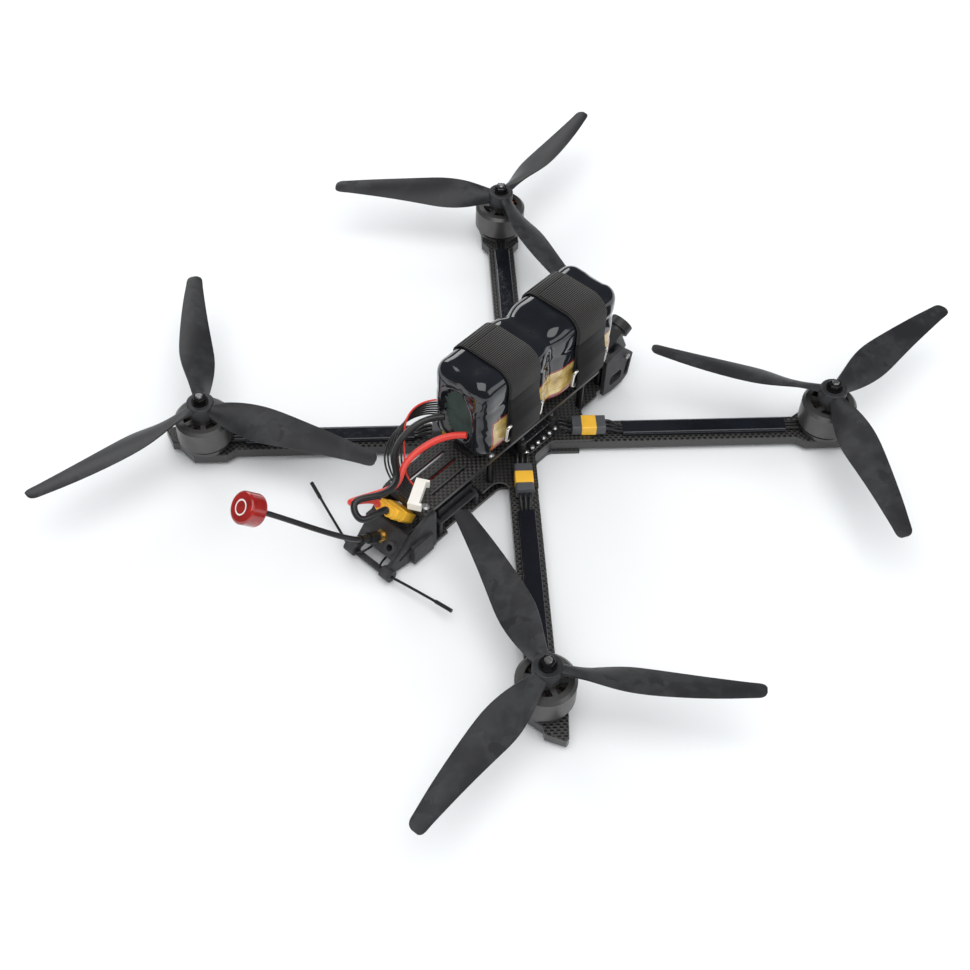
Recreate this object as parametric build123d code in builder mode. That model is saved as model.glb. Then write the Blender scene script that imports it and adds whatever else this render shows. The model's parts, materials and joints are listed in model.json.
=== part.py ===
from build123d import *
from math import cos, pi, radians, sin, sqrt, atan
import os

# Ten inch FPV quadcopter with its battery strapped on, in millimetres.
# +X is forwards, +Y is to the drone's left and +Z is up. The origin is the centre of
# the X of the arms, on the underside of the bottom plate, which is where it rests.

os.makedirs("parts", exist_ok=True)

# ---------------------------------------------------------------- driving dimensions
wheelbase = 427.0  # motor centre to motor centre, across a diagonal
propeller_r = 127.0  # ten inch propeller
plate_t = 2.5  # bottom and top plates
mid_plate_t = 2.0
arm_t = 8.0
arm_w = 19.2
deck_gap = 23.5  # between the mid plate and the top plate
body_w = 37.0
screw_r = 1.5  # M3
screw_hole_r = 1.6
touch = 0.05  # running clearance on a radius
gap = 0.3  # room left round soft parts and cable ends
upright = (Align.CENTER, Align.CENTER, Align.MIN)  # stands a solid on its own foot

# ---------------------------------------------------------------- levels, from the ground
arm_z = plate_t
mid_z = arm_z + arm_t
deck_z = mid_z + mid_plate_t
top_z = deck_z + deck_gap
roof_z = top_z + plate_t

# ---------------------------------------------------------------- the four corners
motor_reach = wheelbase / 2  # from the centre, along an arm
motor_xy = motor_reach / sqrt(2)

# name: x sign, y sign, azimuth of one blade at rest, spin seen from above
corners = {
    "front_left": (1, 1, 8.9, "clockwise"),
    "front_right": (1, -1, 114.2, "anticlockwise"),
    "rear_left": (-1, 1, 51.0, "anticlockwise"),
    "rear_right": (-1, -1, 65.8, "clockwise"),
}


def arm_place(x_sign, y_sign):
    """Turns a piece drawn along +X so that it lies along one arm."""
    heading = {(1, 1): 45, (-1, 1): 135, (-1, -1): 225, (1, -1): 315}[(x_sign, y_sign)]
    return Location((0, 0, 0), (0, 0, heading))


def motor_place(x_sign, y_sign, turn=0):
    """The centre of one motor, on the ground plane, turned about the vertical."""
    return Location((x_sign * motor_xy, y_sign * motor_xy, 0), (0, 0, turn))


# ================================================================ frame plates
hub_half = 22.5  # the square where the four arms meet
stack_half = 30.5 / 2  # the flight stack's own bolt square
stack_holes = [(x, y) for x in (-stack_half, stack_half) for y in (-stack_half, stack_half)]
arm_bolt_reach = 33.0
arm_bolts = [
    (x * arm_bolt_reach / sqrt(2), y * arm_bolt_reach / sqrt(2)) for x in (-1, 1) for y in (-1, 1)
]
countersink_r = 2.9
countersink_depth = 1.5

tail_x = -115.0
bottom_nose_x = 44.0
mid_tail_x = -58.0
mid_nose_x = 90.0
top_tail_x = -113.0
top_nose_x = 79.0
nose_w = 30.6  # plates narrow here to sit between the camera cage's cheeks
nose_start_x = 63.0

rear_post = (-108.0, 14.0)  # posts from the bottom plate
mid_post = (47.0, 15.0)  # posts from the mid plate, front and back
front_post = (73.0, 11.0)
rear_posts = [(rear_post[0], y) for y in (-rear_post[1], rear_post[1])]
deck_posts = [(x, y) for x in (-mid_post[0], mid_post[0]) for y in (-mid_post[1], mid_post[1])]
deck_posts += [(front_post[0], y) for y in (-front_post[1], front_post[1])]
notch_x = -80.0  # shallow finger notches in the bottom plate's long edges
notch_l, notch_w = 24.0, 5.2
bottom_hub_span = 84.0  # tip to tip of the X that backs the arm roots
mid_hub_span = 100.0
hub_blend = 7.0  # radius of the inside corners between the X and the spine

with BuildPart() as bottom_plate:
    with BuildSketch():
        with Locations(((tail_x + bottom_nose_x) / 2, 0)):
            Rectangle(bottom_nose_x - tail_x, body_w)
        for heading in (45, 135):
            Rectangle(bottom_hub_span, arm_w + 3, rotation=heading)
        Rectangle(2 * hub_half, 2 * hub_half)
        offset(amount=hub_blend)
        offset(amount=-hub_blend)
        with Locations((notch_x, body_w / 2), (notch_x, -body_w / 2)):
            RectangleRounded(notch_l, notch_w, 2, mode=Mode.SUBTRACT)
        with Locations(*stack_holes, *arm_bolts, *rear_posts):
            Circle(screw_hole_r, mode=Mode.SUBTRACT)
    extrude(amount=plate_t)
    with Locations(*[(x, y, 0) for x, y in stack_holes + arm_bolts + rear_posts]):
        Cone(
            countersink_r,
            screw_hole_r,
            countersink_depth,
            align=upright,
            mode=Mode.SUBTRACT,
        )
bottom_plate.part.label = "bottom_plate"
export_step(bottom_plate.part, "parts/bottom_plate.step")

with BuildPart() as mid_plate:
    with BuildSketch(Plane.XY.offset(mid_z)):
        with Locations(((mid_tail_x + nose_start_x) / 2, 0)):
            Rectangle(nose_start_x - mid_tail_x, body_w)
        with Locations((mid_nose_x / 2, 0)):
            Rectangle(mid_nose_x, nose_w)
        for heading in (45, 135):
            Rectangle(mid_hub_span, arm_w, rotation=heading)
        Rectangle(2 * hub_half, 2 * hub_half)
        offset(amount=hub_blend)
        offset(amount=-hub_blend)
        with Locations(*stack_holes, *arm_bolts, *deck_posts):
            Circle(screw_hole_r, mode=Mode.SUBTRACT)
    extrude(amount=mid_plate_t)
mid_plate.part.label = "mid_plate"
export_step(mid_plate.part, "parts/mid_plate.step")

# ---------------------------------------------------------------- top plate and straps' slots
strap_w = 29.0
strap_t = 1.5
strap_x = {"front": 42.5, "rear": -24.5}
strap_slot_y = 10.2
strap_slot_w = 2.6
strap_slot_l = strap_w + 2.4
vent_x = -82.0  # three long slots over the video transmitter
vent_l, vent_w, vent_pitch = 34.0, 2.5, 9.5
plate_round = 2.0

with BuildPart() as top_plate:
    with BuildSketch(Plane.XY.offset(top_z)):
        with Locations(((top_tail_x + nose_start_x) / 2, 0)):
            Rectangle(nose_start_x - top_tail_x, body_w)
        with Locations((top_nose_x / 2, 0)):
            Rectangle(top_nose_x, nose_w)
        offset(amount=-plate_round)
        offset(amount=plate_round)
        with Locations((vent_x, 0)):
            with GridLocations(1, vent_pitch, 1, 3):
                SlotOverall(vent_l, vent_w, mode=Mode.SUBTRACT)
        for x in strap_x.values():
            with Locations((x, strap_slot_y), (x, -strap_slot_y)):
                RectangleRounded(strap_slot_l, strap_slot_w, 1.2, mode=Mode.SUBTRACT)
        with Locations(*rear_posts, *deck_posts):
            Circle(screw_hole_r, mode=Mode.SUBTRACT)
    extrude(amount=plate_t)
top_plate.part.label = "top_plate"
export_step(top_plate.part, "parts/top_plate.step")

# ================================================================ arms
pad_half_w = 14.2  # half width of the pad under the motor
neck_in, neck_out = 20.0, 14.0  # the arm widens between these, in from the motor
pad_out = 8.0  # the pad begins to narrow here, out from the motor
motor_hole_r = 4.5
arm_edge = 0.5
motor_bolt_pcd = 19.0
motor_bolts = [
    (motor_bolt_pcd / 2 * cos(radians(a)), motor_bolt_pcd / 2 * sin(radians(a)))
    for a in (45, 135, 225, 315)
]
root = hub_half / sqrt(2)

with BuildPart() as arm_blank:
    with BuildSketch(Plane.XY.offset(arm_z)):
        with BuildLine():
            Polyline(
                (0, 0),
                (root, -root),
                (2 * root - arm_w / 2, -arm_w / 2),
                (motor_reach - neck_in, -arm_w / 2),
                (motor_reach - neck_out, -pad_half_w),
                (motor_reach + pad_out, -pad_half_w),
                (motor_reach + 18.5, -2),
                (motor_reach + 23, -1.3),
                (motor_reach + 28.4, 11.2),
                (motor_reach + 26.5, 12.8),
                (motor_reach + pad_out, pad_half_w),
                (motor_reach - neck_out, pad_half_w),
                (motor_reach - neck_in, arm_w / 2),
                (2 * root - arm_w / 2, arm_w / 2),
                (root, root),
                close=True,
            )
        make_face()
    extrude(amount=arm_t)
    chamfer(arm_blank.edges().group_by(Axis.Z)[-1], arm_edge)
    chamfer(arm_blank.edges().group_by(Axis.Z)[0], arm_edge)
    with Locations((sqrt(2) * stack_half, 0, arm_z), (arm_bolt_reach, 0, arm_z)):
        Hole(screw_hole_r, depth=2 * arm_t)
    with Locations((motor_reach, 0, arm_z)):
        Hole(motor_hole_r, depth=2 * arm_t)
        with Locations(*motor_bolts):
            Hole(screw_hole_r, depth=2 * arm_t)

for corner, (x_sign, y_sign, azimuth, spin) in corners.items():
    handed = arm_blank.part if x_sign == y_sign else mirror(arm_blank.part, about=Plane.XZ)
    with BuildPart() as arm:
        with Locations(arm_place(x_sign, y_sign)):
            add(handed)
    arm.part.label = f"arm_{corner}"
    export_step(arm.part, f"parts/arm_{corner}.step")

# ================================================================ posts and screws
post_r = 2.5
post_thread_depth = 8.0
thread_bite = 6.0  # how far a screw runs into its post
base_bite = 2.0  # and into the base of a motor
head_r, head_h, head_flat_r = 2.7, 1.7, 1.4
hex_af = 2.0

with BuildPart() as standoffs:
    for posts, foot in ((rear_posts, plate_t), (deck_posts, deck_z)):
        with BuildSketch(Plane.XY.offset(foot)):
            with Locations(*posts):
                Circle(post_r)
        extrude(amount=top_z - foot)
        for end in (foot, top_z - post_thread_depth):
            with BuildSketch(Plane.XY.offset(end)):
                with Locations(*posts):
                    Circle(screw_r + touch)
            extrude(amount=post_thread_depth, mode=Mode.SUBTRACT)
standoffs.part.label = "standoffs"
export_step(standoffs.part, "parts/standoffs.step")


def button_screw(length):
    """M3 button head screw, head on top of z = 0 and the shank below it."""
    with BuildPart() as screw:
        with BuildSketch(Plane.XZ):
            with BuildLine():
                Polyline((0, head_h), (head_flat_r, head_h), (head_r, 0.7), (head_r, 0), (screw_r, 0))
                Polyline((screw_r, 0), (screw_r, -length), (0, -length), (0, head_h))
            make_face()
        revolve(axis=Axis.Z)
        with BuildSketch(Plane.XY.offset(head_h)):
            RegularPolygon(hex_af / 2, 6, major_radius=False)
        extrude(amount=-1.1, mode=Mode.SUBTRACT)
    return screw.part


def countersunk_screw(length):
    """M3 countersunk screw, flush with z = 0 and the shank above it."""
    with BuildPart() as screw:
        with BuildSketch(Plane.XZ):
            with BuildLine():
                Polyline((0, 0), (countersink_r - touch, 0), (screw_r, countersink_depth))
                Polyline((screw_r, countersink_depth), (screw_r, length), (0, length), (0, 0))
            make_face()
        revolve(axis=Axis.Z)
        with BuildSketch():
            RegularPolygon(hex_af / 2, 6, major_radius=False)
        extrude(amount=1.2, mode=Mode.SUBTRACT)
    return screw.part


stack_top_z = 30.0
upside_down = (180, 0, 0)

with BuildPart() as m3_screws:
    roof = button_screw(plate_t + thread_bite)
    below = button_screw(mid_plate_t + thread_bite)
    under_arm = button_screw(arm_t + base_bite)
    with Locations(*[(x, y, roof_z) for x, y in rear_posts + deck_posts]):
        add(roof)
    with Locations(*[Location((x, y, mid_z), upside_down) for x, y in deck_posts]):
        add(below)
    with Locations(*[(x, y, 0) for x, y in rear_posts]):
        add(countersunk_screw(plate_t + thread_bite))
    with Locations(*[(x, y, 0) for x, y in arm_bolts]):
        add(countersunk_screw(deck_z))
    with Locations(*[(x, y, 0) for x, y in stack_holes]):
        add(countersunk_screw(stack_top_z))
    for x_sign, y_sign, azimuth, spin in corners.values():
        with Locations(motor_place(x_sign, y_sign, 45)):
            with Locations(*[Location((x, y, arm_z), upside_down) for x, y in motor_bolts]):
                add(under_arm)
m3_screws.part.label = "m3_screws"
export_step(m3_screws.part, "parts/m3_screws.step")

# ================================================================ flight stack
esc_z = deck_z + 3.0
board_t = 1.6
fc_z = esc_z + 9.0
grommet_r = 3.0

with BuildPart() as stack_grommets:
    for low, high in ((deck_z, esc_z), (esc_z + board_t, fc_z), (fc_z + board_t, fc_z + board_t + 2)):
        with BuildSketch(Plane.XY.offset(low)):
            with Locations(*stack_holes):
                Circle(grommet_r)
                Circle(screw_r + touch, mode=Mode.SUBTRACT)
        extrude(amount=high - low)
stack_grommets.part.label = "stack_grommets"
export_step(stack_grommets.part, "parts/stack_grommets.step")

esc_l, esc_w = 41.0, 43.0
pad_pitch = 6.0
pads_per_edge = 6
pad_inset = 1.5  # from the board's edge to the middle of a pad
chip_pitch_x, chip_pitch_y = 9.0, 21.0  # the six transistor pairs

with BuildPart() as esc_board:
    with BuildSketch(Plane.XY.offset(esc_z)):
        Rectangle(esc_l, esc_w)
        chamfer(vertices(), 4.0)
        with Locations(*stack_holes):
            Circle(screw_hole_r, mode=Mode.SUBTRACT)
    extrude(amount=board_t)
    with BuildSketch(Plane.XY.offset(esc_z + board_t)):
        with GridLocations(chip_pitch_x, chip_pitch_y, 3, 2):
            Rectangle(5, 6)
        Rectangle(7, 7)
    extrude(amount=1.0)
    # the row of motor solder pads down each long edge
    with BuildSketch(Plane.XY.offset(esc_z + board_t)):
        with GridLocations(pad_pitch, esc_w - 2 * pad_inset, pads_per_edge, 2):
            RectangleRounded(4.0, 2.6, 1.2)
    extrude(amount=0.9)
esc_board.part.label = "esc_board"
export_step(esc_board.part, "parts/esc_board.step")

fc_l, fc_w = 37.0, 36.0
button_x, button_y = 9.0, 11.0
button_r = 0.9
button_stand = 1.6
button_rise = 0.6
button_travel = 0.25
button_floor = 0.2  # left under the button's pocket

with BuildPart() as fc_board:
    with BuildSketch(Plane.XY.offset(fc_z)):
        RectangleRounded(fc_l, fc_w, 3.0)
        with Locations(*stack_holes):
            Circle(screw_hole_r, mode=Mode.SUBTRACT)
    extrude(amount=board_t)
    with BuildSketch(Plane.XY.offset(fc_z + board_t)):
        Rectangle(10, 10, rotation=45)
        with Locations((-9, 11), (10, -11)):
            Rectangle(5, 4)
        with Locations((-15.5, 0)):
            Rectangle(4, 9)
        with Locations((button_x, button_y)):
            Rectangle(4.2, 3.2)
    extrude(amount=button_stand)
    with Locations((button_x, button_y, fc_z + board_t + button_stand)):
        Hole(button_r + touch, depth=button_stand - button_floor)
fc_board.part.label = "fc_board"
export_step(fc_board.part, "parts/fc_board.step")

with BuildPart() as boot_button:
    with BuildSketch(Plane.XY.offset(fc_z + board_t + button_floor + button_travel)):
        with Locations((button_x, button_y)):
            Circle(button_r)
    extrude(amount=button_stand - button_floor - button_travel + button_rise)
boot_button.part.label = "boot_button"
export_step(boot_button.part, "parts/boot_button.step")

# ================================================================ motors
base_r = 16.0
flange_t = 3.0
flange_cone_h = 2.5
tube_h = 20.5
bell_r = 18.75
bell_wall = 1.7
bell_low_z = mid_z + 6.5
bell_high_z = 35.5
seat_z = 38.7  # where the propeller sits on the bell
tube_r = 5.5  # the bearing tube that carries the stator
shaft_r = 2.5
stator_r = 15.4
stator_low_z = bell_low_z + 2.2
stator_high_z = bell_high_z - 5.0
teeth = 12
tooth_w = 2.4

with BuildPart() as motor_bases:
    for x_sign, y_sign, azimuth, spin in corners.values():
        with Locations(motor_place(x_sign, y_sign, 45)):
            with Locations((0, 0, mid_z)):
                Cylinder(base_r, flange_t, align=upright)
            with Locations((0, 0, mid_z + flange_t)):
                Cone(base_r - 2, 10, flange_cone_h, align=upright)
            with Locations((0, 0, mid_z)):
                Cylinder(tube_r, tube_h, align=upright)
            with Locations((0, 0, mid_z - 1)):
                Cylinder(
                    shaft_r + touch,
                    24,
                    align=upright,
                    mode=Mode.SUBTRACT,
                )
            with Locations(*[(x, y, mid_z - 1) for x, y in motor_bolts]):
                Cylinder(
                    screw_r + touch,
                    3.4,
                    align=upright,
                    mode=Mode.SUBTRACT,
                )
motor_bases.part.label = "motor_bases"
export_step(motor_bases.part, "parts/motor_bases.step")

with BuildPart() as one_stator:
    with BuildSketch(Plane.XY.offset(stator_low_z)):
        Circle(8.2)
        with PolarLocations(0, teeth):
            with Locations((10.5, 0)):
                Rectangle(7.0, tooth_w)
        with BuildLine():
            shoe = 0.175
            CenterArc((0, 0), stator_r, -shoe * 180 / pi, 2 * shoe * 180 / pi)
            CenterArc((0, 0), stator_r - 1.5, -shoe * 180 / pi, 2 * shoe * 180 / pi)
            for side in (-shoe, shoe):
                Line(
                    (stator_r * cos(side), stator_r * sin(side)),
                    ((stator_r - 1.5) * cos(side), (stator_r - 1.5) * sin(side)),
                )
        tooth_shoe = make_face(mode=Mode.PRIVATE)
        with PolarLocations(0, teeth):
            add(tooth_shoe)
        Circle(tube_r, mode=Mode.SUBTRACT)
    extrude(amount=stator_high_z - stator_low_z)

with BuildPart() as one_winding_set:
    coil_over = 1.3  # copper standing above and below the laminations
    with BuildSketch(Plane.XY.offset(stator_low_z - coil_over)):
        with PolarLocations(0, teeth):
            with BuildLine():
                Polyline((8.3, 1.9), (13.6, 3.3), (13.6, -3.3), (8.3, -1.9), close=True)
            make_face()
    extrude(amount=stator_high_z - stator_low_z + 2 * coil_over)
    with BuildSketch(Plane.XY.offset(stator_low_z)):
        with PolarLocations(0, teeth):
            with Locations((10.5, 0)):
                Rectangle(8.0, tooth_w)
    extrude(amount=stator_high_z - stator_low_z, mode=Mode.SUBTRACT)

with BuildPart() as stator_cores:
    with Locations(*[motor_place(x, y) for x, y, azimuth, spin in corners.values()]):
        add(one_stator.part)
stator_cores.part.label = "stator_cores"
export_step(stator_cores.part, "parts/stator_cores.step")

with BuildPart() as windings:
    with Locations(*[motor_place(x, y) for x, y, azimuth, spin in corners.values()]):
        add(one_winding_set.part)
windings.part.label = "windings"
export_step(windings.part, "parts/windings.step")

# ---------------------------------------------------------------- the turning parts
spokes = 6
crown_z = bell_high_z - 3.0  # underside of the bell's spoked top
boss_r = 7.5
shaft_top_z = 55.0

with BuildPart() as one_bell:
    with BuildSketch(Plane.XZ):
        with BuildLine():
            Polyline(
                (bell_r - bell_wall, bell_low_z),
                (bell_r - 0.4, bell_low_z),
                (bell_r, bell_low_z + 0.6),
                (bell_r, bell_high_z - 2.0),
                (bell_r - 2.0, bell_high_z),
                (bell_r - 5.5, bell_high_z),
                (bell_r - 5.5, crown_z + 1.0),
                (bell_r - bell_wall, crown_z - 0.6),
                close=True,
            )
        make_face()
    revolve(axis=Axis.Z)
    with BuildSketch(Plane.XY.offset(crown_z)):
        Circle(boss_r)
    extrude(amount=seat_z - crown_z)
    with BuildSketch(Plane.XY.offset(crown_z)):
        with PolarLocations(0, spokes):
            with Locations((9.5, 0)):
                Rectangle(9.0, 3.4)
    extrude(amount=bell_high_z - crown_z - 0.6)
    with Locations((0, 0, crown_z - 1)):
        Cylinder(
            shaft_r, 10, align=upright, mode=Mode.SUBTRACT
        )

with BuildPart() as one_shaft:
    with BuildSketch(Plane.XY.offset(mid_z + 1)):
        Circle(shaft_r)
    extrude(amount=shaft_top_z - mid_z - 1)
    chamfer(one_shaft.edges().group_by(Axis.Z)[-1], 0.6)

# ---------------------------------------------------------------- propeller
hub_r = 9.3
hub_h = 10.0
blade_rise = 1.3  # how much higher the tip rides than the root
blades_each = 3
steepest = 38.0
pitch = 5 * 25.4
blade_mid_z = seat_z + hub_h / 2
# distance out, chord, thickness, forward offset of the middle of the chord
stations = (
    (6.0, 10.0, 6.0, 0.0),
    (13.0, 13.5, 5.0, 0.0),
    (22.0, 18.5, 3.9, 0.2),
    (34.0, 23.0, 3.2, 0.5),
    (46.0, 24.6, 2.8, 0.8),
    (60.0, 23.0, 2.4, 1.2),
    (76.0, 20.0, 2.1, 1.4),
    (94.0, 16.6, 1.8, 1.2),
    (110.0, 13.4, 1.5, 0.6),
    (120.0, 11.4, 1.3, 0.0),
    (125.4, 8.8, 1.1, -0.6),
    (propeller_r, 4.0, 0.8, -1.2),
)


def blade_angle(reach):
    """Geometric pitch angle at a radius, eased off where the root meets the hub."""
    return min(steepest, atan(pitch / (2 * pi * reach)) * 180 / pi)


with BuildPart() as one_blade:
    for reach, chord, thick, forward in stations:
        tilt = radians(blade_angle(reach))
        section = Plane(
            origin=(reach, forward, blade_mid_z + blade_rise * (reach / propeller_r) ** 2),
            x_dir=(0, cos(tilt), sin(tilt)),
            z_dir=(1, 0, 0),
        )
        edge = 0.14 * thick  # half the thickness left at the two edges
        with BuildSketch(section):
            with BuildLine():
                back, front = -chord / 2, chord / 2
                ThreePointArc((back, edge), (0.08 * chord, 0.72 * thick), (front, edge))
                Line((front, edge), (front, -edge))
                ThreePointArc((front, -edge), (0.0, -0.28 * thick), (back, -edge))
                Line((back, -edge), (back, edge))
            make_face()
    loft()

with BuildPart() as anticlockwise_propeller:
    with BuildSketch(Plane.XY.offset(seat_z)):
        Circle(hub_r)
    extrude(amount=hub_h)
    fillet(anticlockwise_propeller.edges().group_by(Axis.Z)[-1], 1.2)
    with PolarLocations(0, blades_each):
        add(one_blade.part)
    with Locations((0, 0, seat_z - 1)):
        Cylinder(
            shaft_r + touch,
            hub_h + 8,
            align=upright,
            mode=Mode.SUBTRACT,
        )

clockwise_propeller = mirror(anticlockwise_propeller.part, about=Plane.XZ)

nut_z = seat_z + hub_h
nut_flange_r, nut_flange_t = 5.6, 1.2
nut_af, nut_h = 8.0, 3.6
with BuildPart() as one_nut:
    with BuildSketch(Plane.XY.offset(nut_z)):
        Circle(nut_flange_r)
    extrude(amount=nut_flange_t)
    with BuildSketch(Plane.XY.offset(nut_z + nut_flange_t)):
        RegularPolygon(nut_af / 2, 6, major_radius=False)
    extrude(amount=nut_h)
    chamfer(one_nut.edges().group_by(Axis.Z)[-1], 0.4)
    with Locations((0, 0, nut_z - 1)):
        Cylinder(
            shaft_r, 8, align=upright, mode=Mode.SUBTRACT
        )

for corner, (x_sign, y_sign, azimuth, spin) in corners.items():
    with BuildPart() as bell:
        with Locations(motor_place(x_sign, y_sign, azimuth)):
            add(one_bell.part)
    bell.part.label = f"bell_{corner}"
    export_step(bell.part, f"parts/bell_{corner}.step")

    with BuildPart() as shaft:
        with Locations(motor_place(x_sign, y_sign)):
            add(one_shaft.part)
    shaft.part.label = f"shaft_{corner}"
    export_step(shaft.part, f"parts/shaft_{corner}.step")

    blades = clockwise_propeller if spin == "clockwise" else anticlockwise_propeller.part
    with BuildPart() as propeller:
        with Locations(motor_place(x_sign, y_sign, azimuth)):
            add(blades)
    propeller.part.label = f"propeller_{corner}"
    export_step(propeller.part, f"parts/propeller_{corner}.step")

    with BuildPart() as prop_nut:
        with Locations(motor_place(x_sign, y_sign, azimuth)):
            add(one_nut.part)
    prop_nut.part.label = f"prop_nut_{corner}"
    export_step(prop_nut.part, f"parts/prop_nut_{corner}.step")

# ================================================================ motor wiring, along each arm
plug_reach = 48.0  # middle of the connector pair, from the centre
half_body = 5.0  # each yellow half
cap_l = 6.5
plug_w, plug_h = 12.4, 8.0
plug_low_z = deck_z + 0.2
plug_mid_z = plug_low_z + plug_h / 2
wire_r = 1.25
wire_pitch = 3.4
sleeve_start = 72.0
sleeve_end = 186.0
wire_run_z = mid_z + 2.0  # centre line of the wires lying on the arm
motor_wire_end = motor_reach - base_r - gap

with BuildPart() as one_plug_pair:
    for side in (-1, 1):
        with Locations((plug_reach + side * half_body / 2, 0, plug_mid_z)):
            Box(half_body, plug_w, plug_h)
    fillet(one_plug_pair.edges().filter_by(Axis.X), 1.0)

with BuildPart() as one_cap_pair:
    for side in (-1, 1):
        with Locations((plug_reach + side * (half_body + cap_l / 2), 0, plug_mid_z)):
            Box(cap_l, plug_w, plug_h)
    fillet(one_cap_pair.edges().filter_by(Axis.X), 1.6)

with BuildPart() as connector_bodies:
    with Locations(*[arm_place(x, y) for x, y, azimuth, spin in corners.values()]):
        add(one_plug_pair.part)
connector_bodies.part.label = "connector_bodies"
export_step(connector_bodies.part, "parts/connector_bodies.step")

with BuildPart() as connector_caps:
    with Locations(*[arm_place(x, y) for x, y, azimuth, spin in corners.values()]):
        add(one_cap_pair.part)
connector_caps.part.label = "connector_caps"
export_step(connector_caps.part, "parts/connector_caps.step")

with BuildPart() as one_lead_set:
    cap_out = plug_reach + half_body + cap_l + gap
    cap_in = plug_reach - half_body - cap_l - gap
    for lane in (-1, 0, 1):
        side = lane * wire_pitch
        with BuildLine():
            outer = Bezier(
                (cap_out, side, plug_mid_z),
                (cap_out + 6, side, plug_mid_z),
                (sleeve_start - 6, side * 0.8, wire_run_z),
                (sleeve_start, side * 0.8, wire_run_z),
            )
            Line(outer @ 1, (motor_wire_end, side * 0.8, wire_run_z))
        with BuildSketch(Plane(origin=outer @ 0, z_dir=outer % 0)):
            Circle(wire_r)
        sweep()
        with BuildLine():
            inner = Bezier(
                (cap_in, side, plug_mid_z),
                (cap_in - 4, side, plug_mid_z),
                (cap_in - 4, side, esc_z + board_t + 1.2 + wire_r),
                (27.5, side, esc_z + board_t + 1.2 + wire_r),
            )
        with BuildSketch(Plane(origin=inner @ 0, z_dir=inner % 0)):
            Circle(wire_r)
        sweep()

with BuildPart() as motor_leads:
    with Locations(*[arm_place(x, y) for x, y, azimuth, spin in corners.values()]):
        add(one_lead_set.part)
motor_leads.part.label = "motor_leads"
export_step(motor_leads.part, "parts/motor_leads.step")

sleeve_w, sleeve_h, sleeve_wall = 12.0, 3.9, 0.4
with BuildPart() as one_sleeve:
    with BuildSketch(Plane.YZ.offset(sleeve_start)):
        with Locations((0, wire_run_z)):
            RectangleRounded(sleeve_w, sleeve_h, 1.6)
            RectangleRounded(
                sleeve_w - 2 * sleeve_wall,
                sleeve_h - 2 * sleeve_wall,
                1.3,
                mode=Mode.SUBTRACT,
            )
    extrude(amount=sleeve_end - sleeve_start)

with BuildPart() as lead_sleeves:
    with Locations(*[arm_place(x, y) for x, y, azimuth, spin in corners.values()]):
        add(one_sleeve.part)
lead_sleeves.part.label = "lead_sleeves"
export_step(lead_sleeves.part, "parts/lead_sleeves.step")

# ================================================================ battery and straps
battery_x, battery_y = 6.75, 3.0  # centre, a little forward and to the left
battery_l, battery_w, battery_h = 137.5, 46.0, 66.0
pad_l, pad_w, pad_t = 128.0, 17.0, 4.0
battery_z = roof_z + pad_t + gap
battery_round = 10.5

with BuildPart() as battery_pad:
    with BuildSketch(Plane.XY.offset(roof_z)):
        with Locations((battery_x - 2, 0)):
            RectangleRounded(pad_l, pad_w, 2)
    extrude(amount=pad_t)
battery_pad.part.label = "battery_pad"
export_step(battery_pad.part, "parts/battery_pad.step")

with BuildPart() as battery_pack:
    with Locations((battery_x, battery_y, battery_z + battery_h / 2)):
        Box(battery_l, battery_w, battery_h)
    fillet(battery_pack.edges(), battery_round)
battery_pack.part.label = "battery_pack"
export_step(battery_pack.part, "parts/battery_pack.step")

strap_right_y = battery_y - battery_w / 2 - gap - strap_t
strap_left_y = battery_y + battery_w / 2 + gap + strap_t
strap_top_z = battery_z + battery_h + gap + strap_t
strap_slot_out = strap_slot_y + strap_t / 2
strap_under_z = top_z - gap - strap_t


def strap(x):
    """A closed loop round the pack, through the plate's slots and under the plate."""
    with BuildPart() as loop:
        with BuildSketch(Plane.YZ.offset(x - strap_w / 2)):
            with BuildLine():
                Polyline(
                    (-strap_slot_out, strap_under_z),
                    (-strap_slot_out, roof_z + 0.8),
                    (strap_right_y, roof_z + 8.4),
                    (strap_right_y, strap_top_z),
                    (strap_left_y, strap_top_z),
                    (strap_left_y, battery_z - gap - strap_t),
                    (strap_slot_out, battery_z - gap - strap_t),
                    (strap_slot_out, strap_under_z),
                    close=True,
                )
            make_face()
            corner = battery_round + gap + strap_t
            fillet(vertices().filter_by(lambda v: abs(v.X - battery_y) > battery_w / 2), corner)
            offset(amount=-strap_t, kind=Kind.INTERSECTION, mode=Mode.SUBTRACT)
        extrude(amount=strap_w)
    return loop.part


with BuildPart() as strap_front:
    add(strap(strap_x["front"]))
strap_front.part.label = "strap_front"
export_step(strap_front.part, "parts/strap_front.step")

with BuildPart() as strap_rear:
    add(strap(strap_x["rear"]))
strap_rear.part.label = "strap_rear"
export_step(strap_rear.part, "parts/strap_rear.step")

buckle_h, buckle_bar, buckle_t = 16.0, 2.8, 1.6
buckle_mid_z = 60.0
buckle_open = strap_w + 2.4
with BuildPart() as strap_buckles:
    with BuildSketch(Plane.XZ.offset(-(strap_right_y - gap))):
        with Locations(*[(x, buckle_mid_z) for x in strap_x.values()]):
            RectangleRounded(buckle_open + 2 * buckle_bar, buckle_h, 2.5)
            RectangleRounded(buckle_open, buckle_h - 2 * buckle_bar, 1.0, mode=Mode.SUBTRACT)
    extrude(amount=buckle_t)
strap_buckles.part.label = "strap_buckles"
export_step(strap_buckles.part, "parts/strap_buckles.step")

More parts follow.
